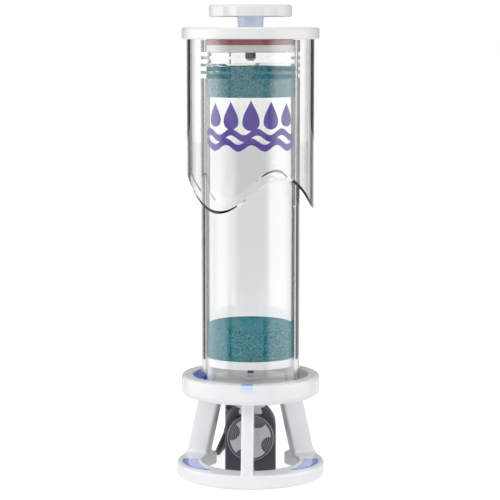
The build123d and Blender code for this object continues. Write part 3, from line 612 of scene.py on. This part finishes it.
# The grille and cover rings are lighter grey than the pump: a painted highlight along the ridges
ridges("grille_rings", (13.4, 15.4, 17.4, 19.3, 21.1), GRILLE_FRONT, 0.42, ridge_painted_highlight, "dock")
ridges("cover_ring_edge", (23.1,), 20.8, 0.5, ridge_painted_highlight, "dock")
ridges("dial_rings", (4.2, 8.6), DIAL_FRONT, 0.45, dial_grey, "flow_dial")

# Outlet collar: the light fitting round the pump's outlet
collar_bm = bmesh.new()
collar_profile = [(9.2, 66.0), (15.2, 64.0), (15.5, 64.6), (15.5, 68.0), (14.6, 68.6), (14.6, 70.2),
                  (15.2, 70.8), (15.2, 72.6), (14.4, 73.2), (9.2, 73.2)]
turned(collar_bm, scaled(collar_profile), 72)
piece("outlet_collar", collar_bm, light_grey, "dock")

# Black cap on the check valve's stem
cap_bm = bmesh.new()
turned(cap_bm, scaled([(2.9, 105.4), (3.2, 105.4), (3.2, 108.8), (2.8, 109.1), (0.3, 109.1)]), 40)
piece("valve_cap", cap_bm, black_rubber, "check_valve")

# Dark rims along the outer edge of the blue foot inserts: a painted shadow line where the pocket's front edge
# shades each insert
INSERT_Z = 15.02
INSERT_RADII = (62.7, 69.0)
INSERT_AZIMUTHS = (40.8, 91.4)
RIM_STEPS = 48
RIM_WIDTH = 0.55
for side, side_name in ((-1, "left"), (1, "right")):
    rim_bm = bmesh.new()
    rim_rings = []
    for step in range(RIM_STEPS + 1):
        share = step / RIM_STEPS
        widening = sin(pi / 2 * min(1.0, share / 0.42)) ** 0.9
        radius = INSERT_RADII[0] + (INSERT_RADII[1] - INSERT_RADII[0]) * widening
        azimuth = side * (INSERT_AZIMUTHS[0] + (INSERT_AZIMUTHS[1] - INSERT_AZIMUTHS[0]) * share)
        spot = at(radius - 0.35, azimuth) + Vector((0, 0, INSERT_Z))
        across = at(1, azimuth)
        width = RIM_WIDTH * (0.25 + 0.75 * sin(pi * share) ** 0.5)
        rim_rings.append([rim_bm.verts.new((spot + across * dx + Vector((0, 0, dz))) * MM) for dx, dz in (
            (-width, -0.3), (width, -0.3), (width * 0.7, 0.12), (0, 0.2), (-width * 0.7, 0.12))])
    skin(rim_bm, rim_rings)
    piece(side_name + "_insert_shadow_rim", rim_bm, rim_blue, "dock")

# The key's dark top edge
KEY_STEPS = 20
KEY_AZIMUTH, KEY_HALF_ANGLE = -3.0, 4.9
KEY_RADIUS = 65.2
KEY_BOTTOM, KEY_TOP = 104.3, 104.85
key_bm = bmesh.new()
key_rings = []
for step in range(KEY_STEPS + 1):
    share = step / KEY_STEPS
    azimuth = KEY_AZIMUTH + (share - 0.5) * 2 * KEY_HALF_ANGLE
    bulge = sin(pi * share) ** 0.6
    inner, outer = at(KEY_RADIUS - 1.6 * bulge, azimuth), at(KEY_RADIUS + 0.9 * bulge, azimuth)
    key_rings.append([key_bm.verts.new((spot + Vector((0, 0, z))) * MM) for spot, z in (
        (inner, KEY_BOTTOM), (outer, KEY_BOTTOM), (outer, KEY_TOP), (inner, KEY_TOP))])
skin(key_bm, key_rings)
piece("key_top", key_bm, rim_blue, "dock")

# ---- Light -----------------------------------------------------------------------------------------------

AMBIENT = (0.72, 0.725, 0.735, 1)
REFLECTED_ROOM = (0.20, 0.20, 0.205, 1)
ROOM_THROUGH_PLASTIC = (0.95, 0.95, 0.945, 1)
WHITE = (1.0, 1.0, 1.0, 1)
world = bpy.data.worlds.new("studio")
scene.world = world
world.use_nodes = True
background = world.node_tree.nodes["Background"]

# The room is white where it's seen, a little darker through clear plastic, and dark in reflections
ray_kinds = node(world, "ShaderNodeLightPath").outputs
in_view = node(world, "ShaderNodeMath", operation="MAXIMUM")
link(world, ray_kinds["Is Camera Ray"], in_view.inputs[0])
link(world, ray_kinds["Is Transmission Ray"], in_view.inputs[1])
room_light = mixed(world, ray_kinds["Is Glossy Ray"], AMBIENT, REFLECTED_ROOM)
room_seen = mixed(world, ray_kinds["Is Camera Ray"], ROOM_THROUGH_PLASTIC, WHITE)
link(world, mixed(world, in_view.outputs["Value"], room_light, room_seen), background.inputs["Color"])

LIGHT_AIM = Vector((0, 0, 0.25))


def softbox(name, azimuth, distance, height, width, tall, power):
    """An upright area light that faces the object's axis."""
    data = bpy.data.lights.new(name, "AREA")
    data.shape = "RECTANGLE"
    data.size, data.size_y = width, tall
    data.energy = power
    lamp = bpy.data.objects.new(name, data)
    lamp.location = at(distance, azimuth) + Vector((0, 0, height))
    lamp.rotation_euler = (LIGHT_AIM - lamp.location).to_track_quat("-Z", "Y").to_euler()
    lamp.visible_camera = False
    lamp.visible_glossy = False
    scene.collection.objects.link(lamp)


softbox("softbox_left", -60, 1.5, 0.9, 0.9, 1.2, 5.0)
softbox("softbox_right", 70, 1.5, 0.8, 0.9, 1.2, 3.0)
softbox("softbox_top", -20, 0.9, 1.6, 0.8, 0.8, 5.0)


def staged(name, corners, material, faces=((0, 1, 2, 3),)):
    """A flat piece of the studio, which isn't part of the object."""
    mesh = bpy.data.meshes.new(name)
    mesh.from_pydata(corners, [], faces)
    made = bpy.data.objects.new(name, mesh)
    mesh.materials.append(material)
    scene.collection.objects.link(made)
    return made


# Pale floor, which neither shines nor scatters in front of the object, except to the camera
FLOOR = 6.0
FLOOR_GLOW, FLOOR_GLOW_SEEN = 0.36, 0.72
FRONT_GLOW_SHARE = 0.12
floor_paint = shader("floor_paint", (0.60, 0.60, 0.60), 0.9, Specular_IOR_Level=0.1)
floor_glow = principled_of(floor_paint)
floor_glow.inputs["Emission Color"].default_value = (1, 1, 1, 1)
floor_camera_ray = node(floor_paint, "ShaderNodeLightPath").outputs["Is Camera Ray"]
unlit_front = level(floor_paint, along(floor_paint, "Y"), -1.25, -0.95, 1.0, 0.0)
not_camera = level(floor_paint, floor_camera_ray, 0.0, 1.0, 1.0, 0.0)
kept = level(floor_paint, product(floor_paint, unlit_front, not_camera), 0.0, 1.0, 1.0, FRONT_GLOW_SHARE)
glow = level(floor_paint, floor_camera_ray, 0.0, 1.0, FLOOR_GLOW, FLOOR_GLOW_SEEN)
link(floor_paint, product(floor_paint, glow, kept), floor_glow.inputs["Emission Strength"])
link(floor_paint, ramp(floor_paint, kept, [(0.0, (0.0, 0.0, 0.0)), (1.0, (0.60, 0.60, 0.60))]),
     floor_glow.inputs["Base Color"])
staged("floor", [(-FLOOR, -FLOOR, 0), (FLOOR, -FLOOR, 0), (FLOOR, FLOOR, 0), (-FLOOR, FLOOR, 0)], floor_paint)

# Pale panels that the camera doesn't see: the tubes reflect them as two broad soft streaks
panel_glow = shader("panel_glow", (0, 0, 0), 1.0, Specular_IOR_Level=0.0)
principled_of(panel_glow).inputs["Emission Color"].default_value = (1.0, 1.0, 0.99, 1)
PANEL_STRENGTH = 2.0
PANEL_DISTANCE = 0.5
PANEL_HEIGHT = 0.50
PANEL_STEPS = 40
FADE_IN, FADE_OUT = 0.22, 0.35
fade_node = node(panel_glow, "ShaderNodeAttribute", attribute_name="fade")
link(panel_glow, level(panel_glow, fade_node.outputs["Fac"], 0.0, 1.0, 0.1, PANEL_STRENGTH),
     principled_of(panel_glow).inputs["Emission Strength"])


def eased(value):
    """A smooth step from 0 to 1."""
    value = min(1.0, max(0.0, value))
    return value * value * (3 - 2 * value)


panel_faces = [(i, i + 1, i + 3, i + 2) for i in range(0, 2 * PANEL_STEPS, 2)]
for name, near, far in (("panel_left", -44.0, -132.0), ("panel_right", 30.0, 122.0)):
    corners = []
    fades = []
    for step in range(PANEL_STEPS + 1):
        share = step / PANEL_STEPS
        foot = at(PANEL_DISTANCE, near + (far - near) * share)
        corners += [tuple(foot), tuple(foot + Vector((0, 0, PANEL_HEIGHT)))]
        fades += [eased(share / FADE_IN) * eased((1 - share) / FADE_OUT)] * 2
    panel = staged(name, corners, panel_glow, panel_faces)
    fade = panel.data.attributes.new("fade", "FLOAT", "POINT")
    fade.data.foreach_set("value", fades)
    panel.visible_camera = False
    panel.visible_diffuse = False
    panel.visible_shadow = False

# Dark cards beside the line of sight, seen only through the clear tubes, draw their dark outlines
card_black = shader("card_black", (0.004, 0.004, 0.004), 1.0, Specular_IOR_Level=0.0)
CARD_DISTANCE = 0.7
CARD_HEIGHT = Vector((0, 0, 0.62))
CARD_SPAN = (19.0, 41.0)
for quarter in range(1, 4):
    for side, side_name in ((-1, "left"), (1, "right")):
        near, far = (at(CARD_DISTANCE, 90 * quarter + side * offset) for offset in CARD_SPAN)
        corners = [tuple(spot) for spot in (near, far, far + CARD_HEIGHT, near + CARD_HEIGHT)]
        card = staged(f"card_{quarter}_{side_name}", corners, card_black)
        card.visible_camera = False
        card.visible_diffuse = False
        card.visible_glossy = False
        card.visible_shadow = False
